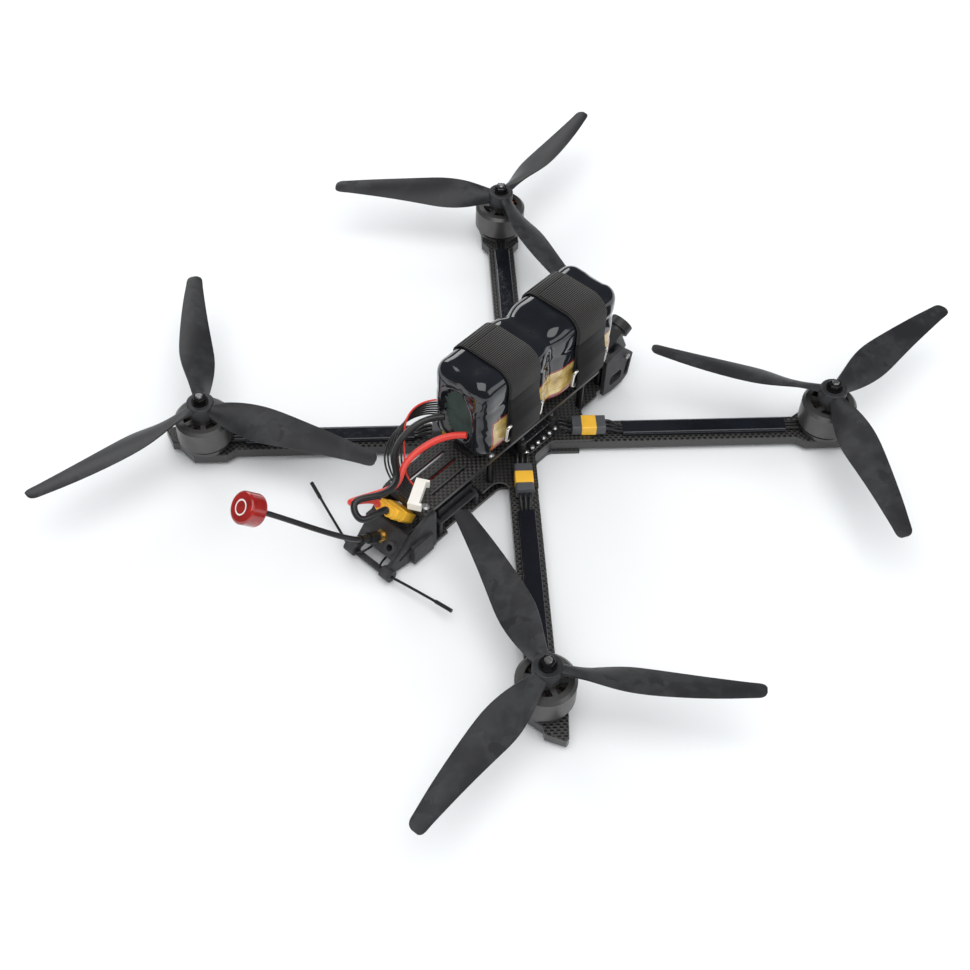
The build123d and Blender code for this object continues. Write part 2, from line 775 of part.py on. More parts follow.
# ================================================================ rear mount
wall_t = 3.0
mount_front_x = -109.0
mount_tail_x = -146.0
wall_front_y, wall_tail_y = 20.0, 15.8  # outside faces
tail_z = 6.5
socket_r = 4.2
sma_axis = (-0.8, 0, 0.6)
sma_wall = Plane(origin=(-134, 0, 21), x_dir=(0, 1, 0), z_dir=sma_axis)
sma_hole_r = 3.3

with BuildPart() as rear_mount:
    for side in (-1, 1):
        run_x = mount_tail_x - mount_front_x
        run_y = side * (wall_tail_y - wall_front_y)
        wall = Plane(
            origin=(mount_front_x, side * wall_front_y, 0),
            x_dir=(run_x, run_y, 0),
            z_dir=(run_y, -run_x, 0),
        )
        with BuildSketch(wall):
            with BuildLine():
                Polyline(
                    (-4, plate_t + touch),
                    (-4, top_z - touch),
                    (3, top_z - touch),
                    (34, 11),
                    (38, 9),
                    (38, 4),
                    (33, plate_t + touch),
                    close=True,
                )
            make_face()
            with BuildLine():
                Polyline((16, 14), (16, 19), (27, 12), (27, 10), close=True)
            make_face(mode=Mode.SUBTRACT)
        extrude(amount=-side * wall_t)
        with Locations((mount_front_x - 9, side * (wall_front_y + 0.2), 11)):
            Box(18, 3.2, 16)
        with Locations(Location((mount_tail_x, side * wall_tail_y, tail_z), (90, 0, 0))):
            Cylinder(socket_r, 8)
    # floor, tail bar and the bridge under the top plate
    with Locations((mount_front_x - 12, 0, plate_t + 1.5 + touch)):
        Box(24, 34, 3)
    with Locations((mount_tail_x + 1, 0, plate_t + 1)):
        Box(4, 2 * wall_tail_y, 2)
    with Locations((mount_front_x - 1.5, 0, top_z - 2.6)):
        Box(3, 2 * wall_front_y - 4, 5)
    # leaning wall that holds the antenna connector
    with BuildSketch(sma_wall):
        Rectangle(31, 20)
    extrude(amount=-wall_t)
    with BuildSketch(sma_wall):
        with Locations((-10.5, 2)):
            Circle(4.2)
    extrude(amount=4)
    with BuildSketch(sma_wall.offset(-wall_t)):
        Circle(sma_hole_r)
        with Locations((-10.5, 2)):
            Circle(2.3)
    extrude(amount=8, mode=Mode.SUBTRACT)
    # collars round the rear posts
    with BuildSketch(Plane.XY.offset(plate_t + touch)):
        with Locations(*rear_posts):
            Circle(post_r + 2.2)
    extrude(amount=10)
    with BuildSketch(Plane.XY.offset(plate_t)):
        with Locations(*rear_posts):
            Circle(post_r + touch)
    extrude(amount=deck_gap + 12, mode=Mode.SUBTRACT)
    for side in (-1, 1):
        with Locations(Location((mount_tail_x, side * wall_tail_y, tail_z), (90, 0, 0))):
            Cylinder(1.3, 30, mode=Mode.SUBTRACT)
rear_mount.part.label = "rear_mount"
export_step(rear_mount.part, "parts/rear_mount.step")

# ---------------------------------------------------------------- antenna connector and antenna
sma_r = 3.1
with BuildPart() as sma_connector:
    with BuildSketch(sma_wall.offset(-wall_t - 2.5)):
        RegularPolygon(4.4, 6)
    extrude(amount=2.5)
    with BuildSketch(sma_wall.offset(-wall_t)):
        Circle(sma_r)
    extrude(amount=wall_t + 7)
    with BuildSketch(sma_wall):
        RegularPolygon(4.6, 6)
    extrude(amount=2.2)
sma_connector.part.label = "sma_connector"
export_step(sma_connector.part, "parts/sma_connector.step")

plug_nut_r = 4.0
cable_r = 1.8
cable_start = sma_wall.offset(7.2)
pill_axis = Vector(-0.69, 0.26, 0.68).normalized()
pill_base = Vector(-198, 41, 70)
pill_r, pill_h = 10.5, 13.0

with BuildPart() as antenna_cable:
    with BuildSketch(cable_start):
        Circle(plug_nut_r)
    extrude(amount=8, taper=2)
    with BuildSketch(cable_start.offset(8)):
        Circle(2.7)
    extrude(amount=8)
    with BuildLine():
        coax = Bezier(
            cable_start.offset(15.5).origin,
            cable_start.offset(32).origin,
            pill_base - pill_axis * 22,
            pill_base - pill_axis * gap,
        )
    with BuildSketch(Plane(origin=coax @ 0, z_dir=coax % 0)):
        Circle(cable_r)
    sweep()
antenna_cable.part.label = "antenna_cable"
export_step(antenna_cable.part, "parts/antenna_cable.step")

with BuildPart() as antenna_pill:
    with BuildSketch(Plane(origin=pill_base, z_dir=pill_axis)):
        Circle(pill_r)
    extrude(amount=pill_h)
    fillet(antenna_pill.edges().filter_by(GeomType.CIRCLE), 2.0)
antenna_pill.part.label = "antenna_pill"
export_step(antenna_pill.part, "parts/antenna_pill.step")

# ================================================================ receiver and its two antennas
receiver_x = -42.0
receiver_l, receiver_w, receiver_h = 18.0, 11.0, 3.0
tip_sleeve_l = 13.0

with BuildPart() as receiver:
    with Locations((receiver_x, 0, plate_t + gap + receiver_h / 2)):
        Box(receiver_l, receiver_w, receiver_h)
    with Locations((receiver_x + 4, 0, plate_t + gap + receiver_h + 0.4)):
        Box(6, 6, 0.8)
receiver.part.label = "receiver"
export_step(receiver.part, "parts/receiver.step")

with BuildPart() as receiver_antennas:
    for side, tip in ((-1, (-141, -67, 10)), (1, (-129, 71, 11))):
        with BuildLine():
            aerial = Spline(
                (receiver_x - receiver_l / 2 - gap, side * 3, plate_t + 2.4),
                (-80, side * 4, plate_t + 1.6),
                (-104, side * 4, plate_t + 4.6),
                (-124, side * 5, 7.5),
                (-138, side * 6.5, tail_z + 1),
                (mount_tail_x - 0.5, side * 10, tail_z + 0.3),
                (mount_tail_x, side * 14, tail_z),
                (mount_tail_x, side * 20.5, tail_z),
            )
        with BuildSketch(Plane(origin=aerial @ 0, z_dir=aerial % 0)):
            Circle(0.7)
        sweep()
        with BuildLine():
            whip = Spline(
                (mount_tail_x, side * 20.5, tail_z),
                ((mount_tail_x + tip[0]) / 2 + 0.5, tip[1] * 0.66, tail_z + 1.5),
                tip,
            )
        with BuildSketch(Plane(origin=whip @ 0, z_dir=whip % 0)):
            Circle(0.9)
        sweep()
        with BuildSketch(Plane(origin=tip, z_dir=whip % 1)):
            Circle(1.3)
        extrude(amount=-tip_sleeve_l)
receiver_antennas.part.label = "receiver_antennas"
export_step(receiver_antennas.part, "parts/receiver_antennas.step")

# ================================================================ video transmitter
bracket_x = -79.0
bracket_l, bracket_w = 38.0, 34.0
bracket_z = 12.0
vtx_l, vtx_w, vtx_h = 33.0, 27.0, 9.0
fin_pitch = 2.4

with BuildPart() as vtx_bracket:
    with BuildSketch(Plane.XY.offset(bracket_z)):
        with Locations((bracket_x, 0)):
            RectangleRounded(bracket_l, bracket_w, 2.5)
            RectangleRounded(18, 14, 2, mode=Mode.SUBTRACT)
            with GridLocations(bracket_l - 7, bracket_w - 7, 2, 2):
                Circle(1.05, mode=Mode.SUBTRACT)
    extrude(amount=2)
    with BuildSketch(Plane.XY.offset(plate_t + touch)):
        with Locations((bracket_x, 0)):
            with GridLocations(bracket_l - 3, bracket_w - 3, 2, 2):
                Rectangle(3, 3)
    extrude(amount=bracket_z - plate_t - touch)
vtx_bracket.part.label = "vtx_bracket"
export_step(vtx_bracket.part, "parts/vtx_bracket.step")

with BuildPart() as vtx_module:
    with BuildSketch(Plane.XY.offset(bracket_z + 2)):
        with Locations((bracket_x, 0)):
            RectangleRounded(vtx_l, vtx_w, 1.5)
    extrude(amount=vtx_h)
    with BuildSketch(Plane.XY.offset(bracket_z + 2 + vtx_h - 2.5)):
        with Locations((bracket_x, 0)):
            with GridLocations(1, fin_pitch, 1, 9):
                Rectangle(vtx_l - 5, 1.2)
    extrude(amount=3, mode=Mode.SUBTRACT)
vtx_module.part.label = "vtx_module"
export_step(vtx_module.part, "parts/vtx_module.step")

# ================================================================ battery plug and leads
xt_axis = Vector(-0.64, 0, 0.77).normalized()
xt_joint = Plane(origin=(-122, 0, 35), x_dir=(0, 1, 0), z_dir=xt_axis)
xt_w, xt_h = 16.0, 8.1
socket_l, plug_l = 13.0, 15.0
lead_r = 2.2
lead_side = 3.8

with BuildPart() as xt60_socket:
    with BuildSketch(xt_joint):
        Rectangle(xt_w, xt_h)
        chamfer(vertices().group_by(Axis.Y)[-1], 2.0)
    extrude(amount=-socket_l)
xt60_socket.part.label = "xt60_socket"
export_step(xt60_socket.part, "parts/xt60_socket.step")

with BuildPart() as xt60_plug:
    with BuildSketch(xt_joint):
        Rectangle(xt_w - 0.6, xt_h - 0.6)
        chamfer(vertices().group_by(Axis.Y)[-1], 2.0)
    extrude(amount=plug_l - 5)
    with BuildSketch(xt_joint.offset(plug_l - 5)):
        with GridLocations(2 * lead_side, 1, 2, 1):
            Circle(3.4)
    extrude(amount=5)
xt60_plug.part.label = "xt60_plug"
export_step(xt60_plug.part, "parts/xt60_plug.step")


def lead(*points):
    """A round silicone lead along a smooth path."""
    with BuildPart() as cable:
        with BuildLine():
            route = Spline(*points)
        with BuildSketch(Plane(origin=route @ 0, z_dir=route % 0)):
            Circle(lead_r)
        sweep()
    return cable.part


lead_gap = 2.9  # room for the heavy leads to bend away from what they plug into
plug_end = xt_joint.offset(plug_l + lead_gap).origin
socket_end = xt_joint.offset(-socket_l - lead_gap).origin
pack_rear_x = battery_x - battery_l / 2

with BuildPart() as power_lead_red:
    add(
        lead(
            plug_end + Vector(0, lead_side, 0),
            (-141, 9, 55.5),
            (-146, 14, 54),
            (-140, 16, 49),
            (-127, 8.6, 50.6),
            (-115, 5, 52),
            (-104, 9, 55.5),
            (-90, 9, 60),
            (pack_rear_x - lead_gap, -9, 68),
        )
    )
    add(lead(socket_end + Vector(0, lead_side, 0), (-104, 5, 26), (-80, 6, 30), (-22, 6, 21)))
power_lead_red.part.label = "power_lead_red"
export_step(power_lead_red.part, "parts/power_lead_red.step")

with BuildPart() as power_lead_black:
    add(
        lead(
            plug_end + Vector(0, -lead_side, 0),
            (-144, -5, 56),
            (-153, -1, 57),
            (-151, 6, 62),
            (-136, 1, 62.5),
            (-118, 2, 61),
            (-106, 15, 63),
            (-90, 21, 66),
            (pack_rear_x - lead_gap, 10, 71),
        )
    )
    add(lead(socket_end + Vector(0, -lead_side, 0), (-104, -5, 26), (-80, -6, 30), (-22, -6, 21)))
power_lead_black.part.label = "power_lead_black"
export_step(power_lead_black.part, "parts/power_lead_black.step")

# ---------------------------------------------------------------- balance lead
balance_wire_r = 0.62
balance_ways = 7
balance_pitch = 2.2
jst_x, jst_y = -106.0, -4.5
jst_turn = 28.0
jst_l, jst_w, jst_h = 22.0, 7.0, 5.8
lug_w = 2.0
jst_place = Location((jst_x, jst_y, roof_z + gap + jst_h / 2), (0, 0, jst_turn))

with BuildPart() as balance_plug:
    with Locations(jst_place):
        Box(jst_l, jst_w, jst_h)
        with GridLocations(jst_l - lug_w, 1, 2, 1):
            with Locations((0, -jst_w / 2 - lug_w / 2, 0)):
                Box(lug_w, lug_w, jst_h)
balance_plug.part.label = "balance_plug"
export_step(balance_plug.part, "parts/balance_plug.step")

with BuildPart() as balance_leads:
    for way in range(balance_ways):
        slot = (way - (balance_ways - 1) / 2) * balance_pitch
        along = Vector(cos(radians(jst_turn)), sin(radians(jst_turn)), 0)
        across = Vector(-along.Y, along.X, 0)
        mouth = Vector(jst_x, jst_y, roof_z + gap + jst_h / 2) + along * slot
        mouth += across * (jst_w / 2 + gap)
        spread = way - (balance_ways - 1) / 2
        with BuildLine():
            route = Spline(
                mouth,
                (-107 + 2 * spread, 6 + 0.8 * spread, roof_z + 5),
                (-98 + 2.2 * spread, 23 - 0.8 * spread, roof_z + 11),
                (-80 - 0.2 * spread, 32 - spread, roof_z + 22 + 1.7 * spread),
                (pack_rear_x - 2 * gap, 18 + 0.4 * spread, roof_z + 34 + 2 * spread),
            )
        with BuildSketch(Plane(origin=route @ 0, z_dir=route % 0)):
            Circle(balance_wire_r)
        sweep()
balance_leads.part.label = "balance_leads"
export_step(balance_leads.part, "parts/balance_leads.step")

# ================================================================ camera and its cage
pivot = (94.0, 0.0, 30.0)
camera_tilt = 25.0  # lens up from level, at rest
camera_size = 19.0
cheek_in = 15.4
cheek_t = 3.0
pivot_r = 1.0
camera_frame = Plane(
    origin=pivot,
    x_dir=(cos(radians(camera_tilt)), 0, sin(radians(camera_tilt))),
    z_dir=(-sin(radians(camera_tilt)), 0, cos(radians(camera_tilt))),
)

with BuildPart() as camera_body:
    with BuildSketch(camera_frame.offset(-camera_size / 2)):
        RectangleRounded(camera_size, camera_size, 1.5)
    extrude(amount=camera_size)
    camera_front = Plane(
        origin=camera_frame.from_local_coords((camera_size / 2, 0, 0)), z_dir=camera_frame.x_dir
    )
    with BuildSketch(camera_front):
        Circle(6.8)
    extrude(amount=3.5)
    with Locations(Location(pivot, (90, 0, 0))):
        Cylinder(pivot_r, 40, mode=Mode.SUBTRACT)
camera_body.part.label = "camera_body"
export_step(camera_body.part, "parts/camera_body.step")

with BuildPart() as lens_ring:
    with BuildSketch(camera_front.offset(3.5)):
        Circle(8.5)
    extrude(amount=6.3)
    with BuildSketch(camera_front.offset(3.5 + 2.5)):
        Circle(6.2)
    extrude(amount=6, mode=Mode.SUBTRACT)
lens_ring.part.label = "lens_ring"
export_step(lens_ring.part, "parts/lens_ring.step")

with BuildPart() as lens_glass:
    with BuildSketch(camera_front.offset(3.5 + 2.5)):
        Circle(6.1)
    extrude(amount=1.2)
    with BuildSketch(camera_front.offset(3.5 + 2.5 + 1.2)):
        Circle(6.1)
    extrude(amount=2.0, taper=40)
lens_glass.part.label = "lens_glass"
export_step(lens_glass.part, "parts/lens_glass.step")

with BuildPart() as camera_cage:
    for side in (-1, 1):
        with BuildSketch(Plane.XZ.offset(-side * (cheek_in + cheek_t / 2) - cheek_t / 2)):
            with BuildLine():
                Polyline(
                    (71, 6),
                    (71, 38.5),
                    (79, 40),
                    (90, 40),
                    (102, 27.5),
                    (99, 8),
                    (92, 4),
                    (80, 4),
                    close=True,
                )
            make_face()
            fillet(vertices().filter_by(lambda v: v.X > 85), 2.5)
            with Locations((84, 15)):
                RectangleRounded(13, 9, 3, mode=Mode.SUBTRACT)
            with Locations(Location((96.5, 17), (0, 0, 80))):
                SlotOverall(14, 4, mode=Mode.SUBTRACT)
        extrude(amount=cheek_t)
        with Locations(Location((pivot[0], side * 12.55, pivot[2]), (90, 0, 0))):
            Cylinder(4.0, 5.7)
    with Locations((94, 0, 6.5)):
        Box(6, 2 * cheek_in + 1, 4)
    with Locations((77, 0, 7.0)):
        Box(6, 2 * cheek_in + 1, 3)
    with Locations(Location(pivot, (90, 0, 0))):
        Cylinder(pivot_r + touch, 50, mode=Mode.SUBTRACT)
camera_cage.part.label = "camera_cage"
export_step(camera_cage.part, "parts/camera_cage.step")

with BuildPart() as camera_screws:
    head_y = cheek_in + cheek_t + touch
    for side in (-1, 1):
        outwards = Plane(
            origin=(pivot[0], side * (camera_size / 2 - 4), pivot[2]), z_dir=(0, side, 0)
        )
        with BuildSketch(outwards):
            Circle(pivot_r)
        extrude(amount=head_y - (camera_size / 2 - 4))
        with BuildSketch(outwards.offset(head_y - (camera_size / 2 - 4))):
            Circle(2.0)
            RegularPolygon(0.8, 6, mode=Mode.SUBTRACT)
        extrude(amount=1.5)
camera_screws.part.label = "camera_screws"
export_step(camera_screws.part, "parts/camera_screws.step")
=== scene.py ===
import json
import math

import bmesh
import bpy
from mathutils import Matrix, Vector, noise


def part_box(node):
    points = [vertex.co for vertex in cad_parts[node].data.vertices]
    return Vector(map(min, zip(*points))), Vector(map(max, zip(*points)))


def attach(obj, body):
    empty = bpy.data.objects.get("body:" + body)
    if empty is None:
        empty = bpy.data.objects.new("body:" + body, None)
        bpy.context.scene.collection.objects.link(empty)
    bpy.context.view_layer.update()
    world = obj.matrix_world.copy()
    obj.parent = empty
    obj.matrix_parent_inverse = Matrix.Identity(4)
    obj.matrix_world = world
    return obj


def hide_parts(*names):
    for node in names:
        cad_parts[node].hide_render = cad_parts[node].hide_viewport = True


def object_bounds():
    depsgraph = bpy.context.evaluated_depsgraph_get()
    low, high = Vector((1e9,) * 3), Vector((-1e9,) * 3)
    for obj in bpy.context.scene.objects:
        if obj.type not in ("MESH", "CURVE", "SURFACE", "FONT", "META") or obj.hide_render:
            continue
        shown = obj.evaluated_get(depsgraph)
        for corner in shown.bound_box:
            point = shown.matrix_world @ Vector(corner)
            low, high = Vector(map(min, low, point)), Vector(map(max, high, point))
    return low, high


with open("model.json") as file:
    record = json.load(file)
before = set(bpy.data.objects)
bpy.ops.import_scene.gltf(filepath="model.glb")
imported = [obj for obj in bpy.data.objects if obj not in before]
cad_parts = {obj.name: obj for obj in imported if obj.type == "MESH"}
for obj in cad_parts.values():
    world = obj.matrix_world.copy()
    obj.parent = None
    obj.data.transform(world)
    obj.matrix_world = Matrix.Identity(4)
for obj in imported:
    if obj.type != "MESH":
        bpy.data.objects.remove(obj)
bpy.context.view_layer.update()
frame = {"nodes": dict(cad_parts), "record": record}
nodes = frame["nodes"]
MM = 0.001

# Shared by the shapes and looks below; sizes are in metres.
PILL_AXIS = Vector((-0.69, 0.26, 0.68)).normalized()  # the way the antenna's round end faces
PACK_ROUND = 10.5 * MM  # the pack's edge radius
STRAP_THICK = 1.2 * MM
STRAP_AWAY = 0.35 * MM  # air between the pack and a strap
STRAP_SLOT_Y = 10.2 * MM  # the top plate's slots, out from the middle


# ------------------------------------------------------------------ shader helpers
class Shader:
    """A material with its node tree, and short ways of adding nodes to it."""

    def __init__(self, name, rough, metal, colour, coat=0.0, coat_rough=0.1):
        self.material = bpy.data.materials.new(name)
        self.material.use_nodes = True
        self.tree = self.material.node_tree
        self.surface = self.tree.nodes["Principled BSDF"]
        self.set("Roughness", rough)
        self.set("Metallic", metal)
        self.set("Base Color", (*colour, 1))
        self.set("Coat Weight", coat)
        self.set("Coat Roughness", coat_rough)
        self.coords = self.node("ShaderNodeTexCoord").outputs["Object"]

    def node(self, kind, **inputs):
        made = self.tree.nodes.new(kind)
        for key, value in inputs.items():
            name = key.replace("_", " ")
            if isinstance(value, bpy.types.NodeSocket):
                self.tree.links.new(value, made.inputs[name])
            else:
                made.inputs[name].default_value = value
        return made

    def set(self, name, value):
        if isinstance(value, bpy.types.NodeSocket):
            self.tree.links.new(value, self.surface.inputs[name])
        else:
            self.surface.inputs[name].default_value = value

    def operate(self, kind, operation, values):
        made = self.tree.nodes.new(kind)
        made.operation = operation
        for i, value in enumerate(values):
            if isinstance(value, bpy.types.NodeSocket):
                self.tree.links.new(value, made.inputs[i])
            else:
                made.inputs[i].default_value = value
        return made

    def math(self, operation, *values):
        return self.operate("ShaderNodeMath", operation, values).outputs[0]

    def vector(self, operation, *values, out="Vector"):
        return self.operate("ShaderNodeVectorMath", operation, values).outputs[out]

    def axes(self, turn=0.0):
        """The x, y and z of the object's coordinates in millimetres, turned about the vertical."""
        mapped = self.node("ShaderNodeMapping", Vector=self.coords)
        mapped.inputs["Scale"].default_value = (1 / MM, 1 / MM, 1 / MM)
        mapped.inputs["Rotation"].default_value = (0, 0, turn)
        split = self.node("ShaderNodeSeparateXYZ", Vector=mapped.outputs[0])
        return split.outputs[0], split.outputs[1], split.outputs[2]

    def noise(self, per_metre, detail=3.0, stretch=(1, 1, 1)):
        mapped = self.node("ShaderNodeMapping", Vector=self.coords)
        mapped.inputs["Scale"].default_value = stretch
        made = self.node("ShaderNodeTexNoise", Vector=mapped.outputs[0])
        made.inputs["Scale"].default_value = per_metre
        made.inputs["Detail"].default_value = detail
        made.inputs["Roughness"].default_value = 0.55
        return made.outputs["Fac"]

    def ramp(self, value, *stops):
        """Colours or greys at places along 0 to 1."""
        made = self.node("ShaderNodeValToRGB", Fac=value)
        band = made.color_ramp
        while len(band.elements) < len(stops):
            band.elements.new(0.5)
        for element, (place, tint) in zip(band.elements, stops):
            element.position = place
            element.color = (*tint, 1) if isinstance(tint, tuple) else (tint, tint, tint, 1)
        return made.outputs["Color"]

    def mix(self, factor, a, b):
        made = self.tree.nodes.new("ShaderNodeMix")
        made.data_type = "RGBA"
        for name, value in ((0, factor), (6, a), (7, b)):
            if isinstance(value, bpy.types.NodeSocket):
                self.tree.links.new(value, made.inputs[name])
            elif name == 0:
                made.inputs[0].default_value = value
            else:
                made.inputs[name].default_value = (*value, 1)
        return made.outputs[2]

    def bump(self, height, depth_mm, strength=1.0):
        made = self.node("ShaderNodeBump", Height=height, Strength=strength)
        made.inputs["Distance"].default_value = depth_mm * MM
        self.set("Normal", made.outputs[0])


def speckled(name, colour, rough, spread=0.25, grain=900.0, bump_mm=0.05, metal=0.0):
    """A plain material whose colour, roughness and surface vary a little, as a real one does."""
    s = Shader(name, rough, metal, colour)
    fine = s.noise(grain, 4)
    broad = s.noise(grain / 12, 3)
    low = tuple(c * (1 - spread) for c in colour)
    high = tuple(min(1, c * (1 + spread)) for c in colour)
    s.set("Base Color", s.ramp(broad, (0.3, low), (0.7, high)))
    s.set("Roughness", s.ramp(fine, (0.25, max(0.02, rough - 0.08)), (0.75, min(1, rough + 0.1))))
    s.bump(fine, bump_mm)
    return s.material


def carbon(name, turn):
    """Woven carbon plate: woven faces with resin dimples, and layered cut edges."""
    tow, layers_per_mm = 2.0, 2.4  # a bundle of fibres is tow millimetres wide
    s = Shader(name, 0.42, 0.0, (0.03, 0.03, 0.03), coat=0.25, coat_rough=0.3)
    x, y, z = s.axes(turn=turn)
    across = s.math("DIVIDE", x, tow)
    along = s.math("DIVIDE", y, tow)
    step = s.math("ADD", s.math("FLOOR", across), s.math("FLOOR", along))
    over = s.math("LESS_THAN", s.math("FLOORED_MODULO", step, 2.0), 0.5)
    crown_x = s.math("SINE", s.math("MULTIPLY", s.math("FRACT", across), math.pi))
    crown_y = s.math("SINE", s.math("MULTIPLY", s.math("FRACT", along), math.pi))
    warp = s.math("MULTIPLY", over, crown_x)
    weft = s.math("MULTIPLY", s.math("SUBTRACT", 1.0, over), crown_y)
    height = s.math("ADD", warp, weft)
    # The tows that lie on top are painted lighter and those beneath are painted near black: a painted
    # sheen of the weave.
    tint = s.mix(over, (0.004, 0.004, 0.004), (0.06, 0.058, 0.055))
    haze = s.ramp(s.noise(60, 2), (0.3, (0.008, 0.008, 0.008)), (0.75, (0.03, 0.028, 0.026)))
    woven = s.mix(0.25, tint, haze)
    layers = s.math("FRACT", s.math("MULTIPLY", z, layers_per_mm))
    dark_layer, light_layer = (0.02, 0.02, 0.02), (0.045, 0.044, 0.043)
    edge = s.ramp(layers, (0.0, dark_layer), (0.5, light_layer), (1.0, (0.022, 0.022, 0.022)))
    geometry = s.node("ShaderNodeNewGeometry")
    facing = s.node("ShaderNodeSeparateXYZ", Vector=geometry.outputs["True Normal"])
    flat = s.math("GREATER_THAN", s.math("ABSOLUTE", facing.outputs[2]), 0.6)
    s.set("Base Color", s.mix(flat, edge, woven))
    s.set("Roughness", s.ramp(s.math("MULTIPLY", over, flat), (0.0, 0.36), (1.0, 0.52)))
    s.bump(s.math("MULTIPLY", height, flat), 0.35)
    return s.material


def propeller_nylon():
    """Glass-filled nylon: dark, satin, with the cloudy flakes of chopped fibre."""
    s = Shader("propeller_nylon_look", 0.46, 0.0, (0.03, 0.03, 0.03))
    s.set("Specular IOR Level", 0.4)
    cells = s.node("ShaderNodeTexVoronoi", Scale=150.0, Randomness=1.0)
    warped = s.node("ShaderNodeTexNoise", Vector=s.coords, Scale=70.0)
    shift = s.vector("MULTIPLY", warped.outputs["Color"], (0.02, 0.02, 0.02))
    s.tree.links.new(s.vector("ADD", s.coords, shift), cells.inputs["Vector"])
    grey = s.node("ShaderNodeRGBToBW", Color=cells.outputs["Color"]).outputs[0]
    cloud = s.noise(34, 4)
    patch = s.math("MULTIPLY", grey, s.ramp(cloud, (0.42, 0.0), (0.62, 1.0)))
    ground, flake, deep = (0.016, 0.0165, 0.018), (0.03, 0.031, 0.033), (0.010, 0.010, 0.011)
    s.set("Base Color", s.ramp(patch, (0.0, ground), (0.5, flake), (1.0, deep)))
    s.set("Roughness", s.ramp(patch, (0.0, 0.42), (1.0, 0.56)))
    s.bump(s.noise(1300, 2), 0.03)
    return s.material


def webbing(seam_z, side_y):
    """Ribbed nylon webbing: ribs across the strap and threads along it. The ribs stop at a
    sewn seam on the pack's right side, and the fastening tape below the seam is plain."""
    s = Shader("webbing_look", 0.85, 0.0, (0.03, 0.03, 0.03))
    s.set("Specular IOR Level", 0.2)
    s.set("Sheen Weight", 0.08)
    x, y, z = s.axes()
    thread_pitch, rib_pitch = 0.9, 1.35  # millimetres, as below
    seam_drop, seam_half = 0.8, 0.35
    thread = s.math("SINE", s.math("MULTIPLY", x, 2 * math.pi / thread_pitch))
    rib_run = s.math("ADD", z, y)
    rib = s.math("SINE", s.math("MULTIPLY", rib_run, 2 * math.pi / rib_pitch))
    weave = s.math("ADD", s.math("MULTIPLY", thread, 0.1), s.math("MULTIPLY", rib, 0.4))
    right = s.math("LESS_THAN", y, side_y)
    plain = s.math("MULTIPLY", right, s.math("LESS_THAN", z, seam_z))
    ribbed = s.math("SUBTRACT", 1.0, plain)
    level = s.math("ADD", 0.3, s.math("MULTIPLY", ribbed, 0.2))
    lifted = s.math("ADD", s.math("MULTIPLY", weave, ribbed), level)
    seam = s.math("MULTIPLY", s.math("COMPARE", z, seam_z - seam_drop, seam_half), right)
    # The grooves between the ribs are painted darker as painted shade, and the rib crests are painted
    # lighter as a painted highlight.
    painted_groove_shade, ground, painted_crest_highlight = (0.002, 0.002, 0.002), (0.018, 0.0175, 0.017), (0.075, 0.072, 0.068)
    cloth_with_painted_light = s.ramp(lifted, (0.15, painted_groove_shade), (0.5, ground), (0.85, painted_crest_highlight))
    s.set("Base Color", s.mix(seam, cloth_with_painted_light, (0.003, 0.003, 0.003)))
    s.bump(lifted, 0.3)
    return s.material


def shrink_wrap(low, high):
    """Glossy black shrink wrap with a printed gold panel low on the right side, which carries
    plain lines and no lettering."""
    rear_margin, front_margin, border = 10, 6, 1.5  # millimetres, as are the heights below
    panel_foot, foot_band_top, lines_foot, panel_top = 4, 11, 14, 33
    lines_per_mm = 0.62
    s = Shader("shrink_wrap_look", 0.12, 0.0, (0.008, 0.009, 0.012), coat=0.6, coat_rough=0.05)
    x, y, z = s.axes()
    right = s.math("LESS_THAN", y, low.y / MM + 5.0)

    def between(value, start, end):
        return s.math("MULTIPLY", s.math("GREATER_THAN", value, start), s.math("LESS_THAN", value, end))

    def panel(inset):
        start, end = low.x / MM + rear_margin + inset, high.x / MM - front_margin - inset
        foot, top = low.z / MM + panel_foot + inset, low.z / MM + panel_top - inset
        across, up = between(x, start, end), between(z, foot, top)
        return s.math("MULTIPLY", right, s.math("MULTIPLY", across, up))

    cloud = s.noise(90, 3)
    dull, mid, bright = (0.30, 0.2, 0.05), (0.55, 0.38, 0.11), (0.78, 0.62, 0.3)
    gold = s.ramp(cloud, (0.3, dull), (0.5, mid), (0.75, bright))
    lines = s.math("GREATER_THAN", s.math("FRACT", s.math("MULTIPLY", z, lines_per_mm)), 0.72)
    band = s.math("GREATER_THAN", z, low.z / MM + lines_foot)
    ink = s.math("MULTIPLY", s.math("MULTIPLY", lines, band), 0.55)
    printed = s.mix(ink, gold, (0.1, 0.07, 0.03))
    in_foot_band = s.math("LESS_THAN", z, low.z / MM + foot_band_top)
    banded = s.mix(in_foot_band, printed, (0.33, 0.10, 0.10))
    bordered = s.mix(panel(border), (0.22, 0.02, 0.03), banded)
    film = s.ramp(s.noise(40, 2), (0.3, (0.006, 0.007, 0.010)), (0.8, (0.012, 0.014, 0.018)))
    s.set("Base Color", s.mix(panel(0), film, bordered))
    s.set("Roughness", s.ramp(s.noise(300, 2), (0.3, 0.06), (0.8, 0.16)))
    s.bump(s.noise(60, 2, stretch=(1, 1, 0.4)), 0.2, 0.3)
    return s.material


def boards():
    """Dark solder mask with small tinned pads on it."""
    s = Shader("board_look", 0.4, 0.0, (0.02, 0.02, 0.02))
    cells = s.node("ShaderNodeTexVoronoi", Vector=s.coords, Scale=420.0)
    pad = s.math("LESS_THAN", cells.outputs["Distance"], 0.22)
    s.set("Base Color", s.mix(pad, (0.012, 0.014, 0.016), (0.35, 0.33, 0.28)))
    s.set("Metallic", s.math("MULTIPLY", pad, 0.8))
    s.bump(pad, 0.1)
    return s.material


